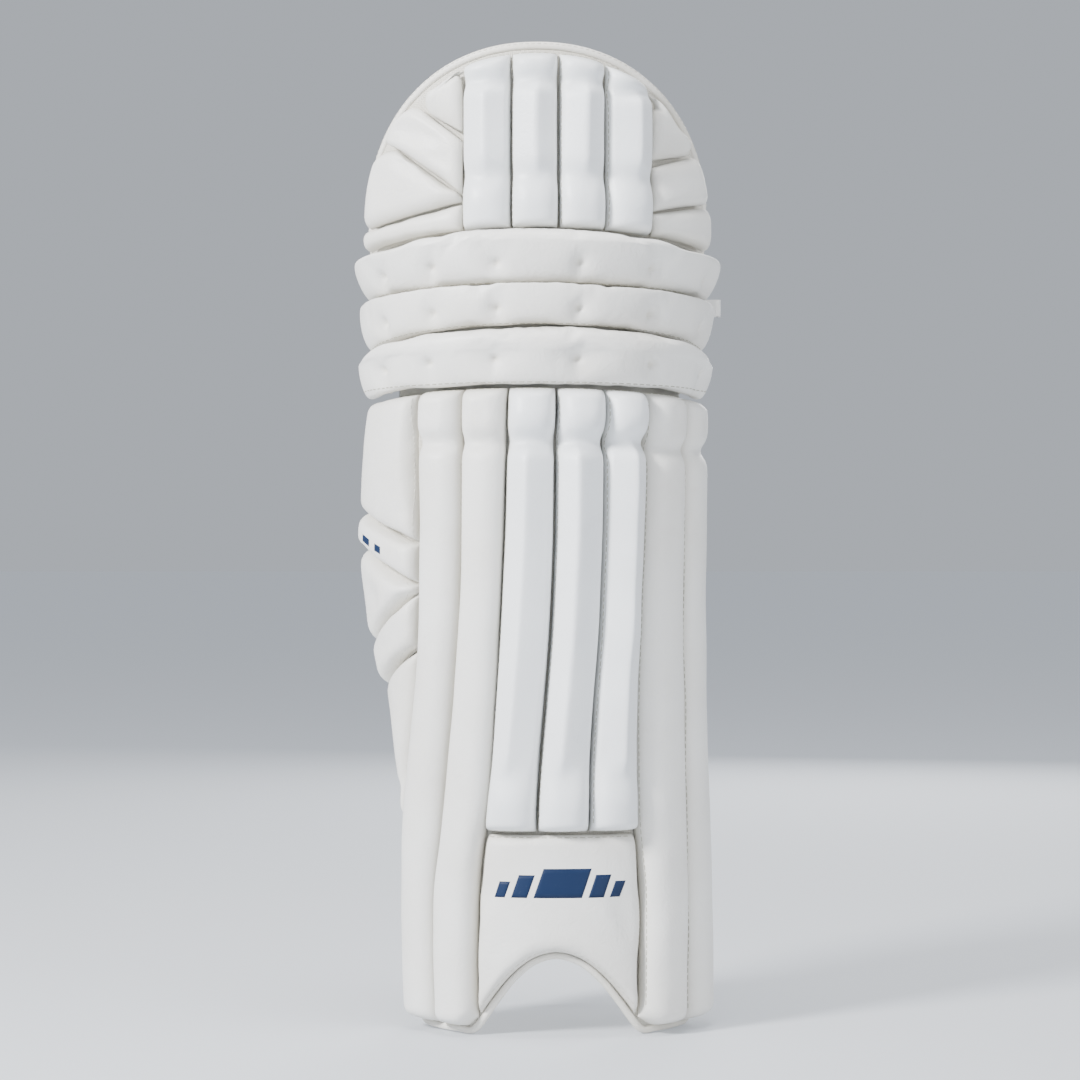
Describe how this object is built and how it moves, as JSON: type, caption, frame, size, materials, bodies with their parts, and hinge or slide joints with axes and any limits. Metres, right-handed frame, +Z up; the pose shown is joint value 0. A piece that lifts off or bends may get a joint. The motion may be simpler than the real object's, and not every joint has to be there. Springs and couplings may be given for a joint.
{
  "type": "cricket leg pad",
  "caption": "Batting leg pad: ridged shin rolls, an arched instep, flexing knee rolls, a domed top, a side wing and straps behind the leg.",
  "frame": {"origin": "on the surface the pad stands on, under the middle of its bounding box", "axes": "+Z up the leg, -Y out of the front (batting) face, -X towards the wing on the outer side of the leg"},
  "size_m": [0.2579, 0.1568, 0.6845],
  "materials": {
    "plain_cover": "satin warm white",
    "ridged_cover": "satin cool white",
    "stiff_board": "fabric-covered board",
    "lining": "woven lining",
    "binding": "satin",
    "cane": "raw cane",
    "webbing": "woven elastic",
    "hook_tape": "hook tape",
    "loop_tape": "brushed loop tape",
    "tag_fabric": "satin tape"
  },
  "bodies": {
    "shin": {"shin_roll_1": "plain_cover", "shin_roll_2": "plain_cover", "shin_roll_3": "ridged_cover", "shin_roll_4": "ridged_cover", "shin_roll_5": "ridged_cover", "shin_roll_6": "plain_cover", "shin_roll_7": "plain_cover", "shin_cane_1": "cane", "shin_cane_2": "cane", "shin_cane_3": "cane", "shin_cane_4": "cane", "shin_cane_5": "cane", "shin_cane_6": "cane", "shin_cane_7": "cane", "instep_panel": "plain_cover", "shin_board": "stiff_board", "inner_bolster_left": "lining", "inner_bolster_right": "lining", "hem_binding": "binding", "ankle_landing_patch": "loop_tape", "calf_landing_patch": "loop_tape", "knee_landing_patch": "loop_tape", "wing_pad_lower": "plain_cover"},
    "wing": {"wing_board": "stiff_board", "wing_pad_heel": "plain_cover", "wing_pad_arrow": "plain_cover", "wing_pad_ridge": "plain_cover", "wing_pad_upper": "plain_cover"},
    "knee_lower": {"knee_board_lower": "stiff_board", "knee_roll_lower": "plain_cover", "knee_bolster_lower": "lining"},
    "knee_middle": {"knee_board_middle": "stiff_board", "knee_roll_middle": "plain_cover"},
    "knee_upper": {"knee_board_upper": "stiff_board", "knee_roll_upper": "plain_cover", "knee_bolster_upper": "lining"},
    "top_hat": {"top_board": "stiff_board", "top_binding": "binding", "top_inner_pad": "lining", "top_roll_1": "ridged_cover", "top_roll_2": "ridged_cover", "top_roll_3": "ridged_cover", "top_roll_4": "ridged_cover", "top_left_pad_1": "plain_cover", "top_left_pad_2": "plain_cover", "top_left_pad_3": "plain_cover", "top_left_pad_4": "plain_cover", "top_right_pad_1": "plain_cover", "top_right_pad_2": "plain_cover", "top_right_pad_3": "plain_cover"},
    "ankle_strap": {"ankle_strap": "webbing", "ankle_hook_patch": "hook_tape"},
    "calf_strap": {"calf_strap": "webbing", "calf_hook_patch": "hook_tape"},
    "knee_strap": {"knee_strap": "webbing", "knee_hook_patch": "hook_tape"},
    "tag": {"size_tag": "tag_fabric"}
  },
  "joints": [
    {"name": "knee_flex_1", "type": "hinge", "parent": "shin", "child": "knee_lower", "pos_m": [0, -0.019, 0.4462], "axis": [-1, 0, 0], "range_deg": [-1.5, 5], "stiffness_Nm_per_rad": 12},
    {"name": "knee_flex_2", "type": "hinge", "parent": "knee_lower", "child": "knee_middle", "pos_m": [0, -0.019, 0.4824], "axis": [-1, 0, 0], "range_deg": [-1.5, 5], "stiffness_Nm_per_rad": 12},
    {"name": "knee_flex_3", "type": "hinge", "parent": "knee_middle", "child": "knee_upper", "pos_m": [0, -0.019, 0.5131], "axis": [-1, 0, 0], "range_deg": [-1.5, 5], "stiffness_Nm_per_rad": 12},
    {"name": "knee_flex_4", "type": "hinge", "parent": "knee_upper", "child": "top_hat", "pos_m": [0, -0.019, 0.5492], "axis": [-1, 0, 0], "range_deg": [-1.5, 5], "stiffness_Nm_per_rad": 12},
    {"name": "wing_hinge", "type": "hinge", "parent": "shin", "child": "wing", "pos_m": [-0.0777, -0.0257, 0.3562], "axis": [-0.0017, -0.037, 0.9993], "range_deg": [0, 25], "stiffness_Nm_per_rad": 0.4},
    {"name": "ankle_strap_opening", "type": "hinge", "parent": "shin", "child": "ankle_strap", "pos_m": [0.0995, 0.031, 0.108], "axis": [0, 0, -1], "range_deg": [0, 85]},
    {"name": "calf_strap_opening", "type": "hinge", "parent": "shin", "child": "calf_strap", "pos_m": [0.095, 0.0318, 0.272], "axis": [0, 0, -1], "range_deg": [0, 85]},
    {"name": "knee_strap_opening", "type": "hinge", "parent": "shin", "child": "knee_strap", "pos_m": [0.0965, 0.0348, 0.392], "axis": [0, 0, -1], "range_deg": [0, 85]},
    {"name": "tag_bend", "type": "hinge", "parent": "knee_middle", "child": "tag", "pos_m": [0.1071, 0.0348, 0.508], "axis": [0, 0, 1], "range_deg": [-20, 60], "stiffness_Nm_per_rad": 0.002}
  ],
  "couplings": [
    {"joint": "knee_flex_2", "follows": "knee_flex_1", "ratio": 1},
    {"joint": "knee_flex_3", "follows": "knee_flex_1", "ratio": 1},
    {"joint": "knee_flex_4", "follows": "knee_flex_1", "ratio": 1}
  ]
}
